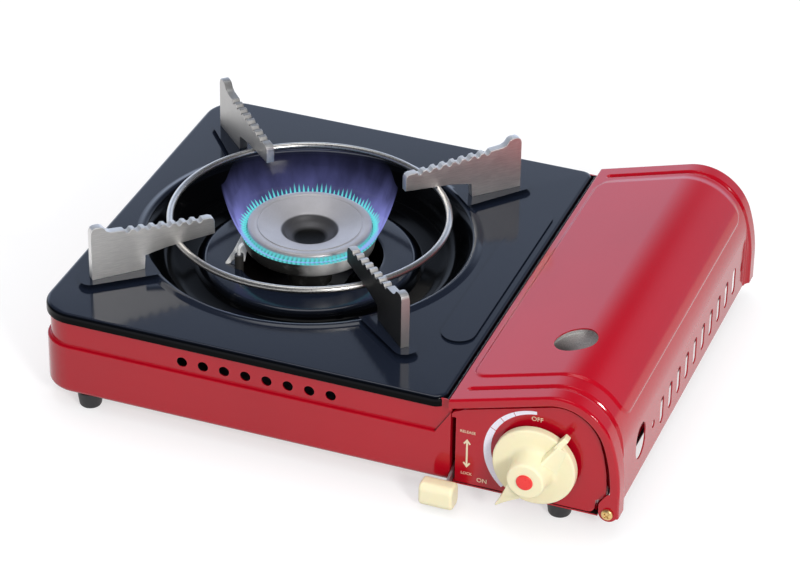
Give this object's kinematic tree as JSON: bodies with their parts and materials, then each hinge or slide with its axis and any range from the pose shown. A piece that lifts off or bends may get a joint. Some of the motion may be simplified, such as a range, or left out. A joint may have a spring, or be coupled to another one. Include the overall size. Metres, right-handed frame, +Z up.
{
  "type": "portable gas stove",
  "caption": "Low red box stove with a black top plate, a burner in a round well under four fins on a wire ring, and a hinged cartridge cover with a knob and lever.",
  "frame": {"origin": "middle of the stove on the surface that it stands on, under the middle of its bounding box", "axes": "+Z up, -Y towards the front with the knob, +X towards the cartridge cover"},
  "size_m": [0.3454, 0.288, 0.0995],
  "materials": {
    "red_paint": "gloss",
    "black_enamel": "gloss",
    "galvanised": "satin",
    "black_rubber": "matte",
    "brass": "satin",
    "burner_alloy": "satin",
    "burner_steel": "satin",
    "white_ceramic": "satin",
    "lead_sleeve": "matte",
    "black_plastic": "matte",
    "copper": "satin",
    "die_cast": "satin",
    "can_paint": "gloss",
    "can_tin": "gloss",
    "white_plastic": "matte",
    "cream_plastic": "gloss",
    "red_plastic": "gloss",
    "bright_wire": "gloss",
    "fin_steel": "satin"
  },
  "bodies": {
    "stove": {"body_shell": "red_paint", "top_plate": "black_enamel", "partition_wall": "galvanised", "bay_front_panel": "red_paint", "bay_rear_panel": "red_paint", "rubber_feet": "black_rubber", "cradle_rails": "galvanised", "hinge_screws": "brass", "burner_cap": "burner_alloy", "burner_bowl": "burner_steel", "mixing_tube": "galvanised", "burner_bridge": "galvanised", "ignition_tab": "burner_steel", "electrode_insulator": "white_ceramic", "electrode_rod": "burner_steel", "ignition_lead": "lead_sleeve", "igniter_unit": "black_plastic", "gas_nozzle": "brass", "gas_pipe": "copper", "governor_block": "die_cast", "governor_cap": "die_cast", "governor_plate": "galvanised", "inlet_seal": "black_rubber", "lever_stay": "galvanised", "lever_pin": "galvanised", "link_guides": "galvanised"},
    "pan_support": {"support_ring": "bright_wire", "fin_front_left": "fin_steel", "fin_front_right": "fin_steel", "fin_back_left": "fin_steel", "fin_back_right": "fin_steel"},
    "cover": {"cartridge_cover": "red_paint"},
    "knob": {"control_knob": "cream_plastic", "knob_inlay": "red_plastic", "valve_spindle": "brass"},
    "lever": {"lever_arm": "galvanised", "lever_tip": "cream_plastic"},
    "pusher": {"pusher_plate": "galvanised", "pusher_link": "galvanised"},
    "cartridge": {"cartridge_can": "can_paint", "cartridge_collar": "can_tin", "cartridge_stem": "white_plastic"}
  },
  "joints": [
    {"name": "pan_support_lift", "type": "slide", "parent": "stove", "child": "pan_support", "axis": [0, 0, 1], "range_m": [0, 0.08]},
    {"name": "cover_open", "type": "hinge", "parent": "stove", "child": "cover", "pos_m": [0.16684, 0.00905, 0.015], "axis": [0, 1, 0], "range_deg": [0, 90]},
    {"name": "knob_turn", "type": "hinge", "parent": "stove", "child": "knob", "pos_m": [0.12546, -0.1312, 0.0372], "axis": [0, 1, 0], "range_deg": [0, 137]},
    {"name": "lever_lift", "type": "hinge", "parent": "stove", "child": "lever", "pos_m": [0.07666, -0.0762, 0.032], "axis": [-1, 0, 0], "range_deg": [0, 42]},
    {"name": "pusher_slide", "type": "slide", "parent": "stove", "child": "pusher", "axis": [0, 1, 0], "range_m": [0, 0.007]},
    {"name": "cartridge_slide", "type": "slide", "parent": "stove", "child": "cartridge", "axis": [0, 1, 0], "range_m": [0, 0.007]}
  ],
  "couplings": [
    {"joint": "pusher_slide", "follows": "lever_lift", "m_per_rad": 0.009549},
    {"joint": "cartridge_slide", "follows": "lever_lift", "m_per_rad": 0.009549}
  ]
}
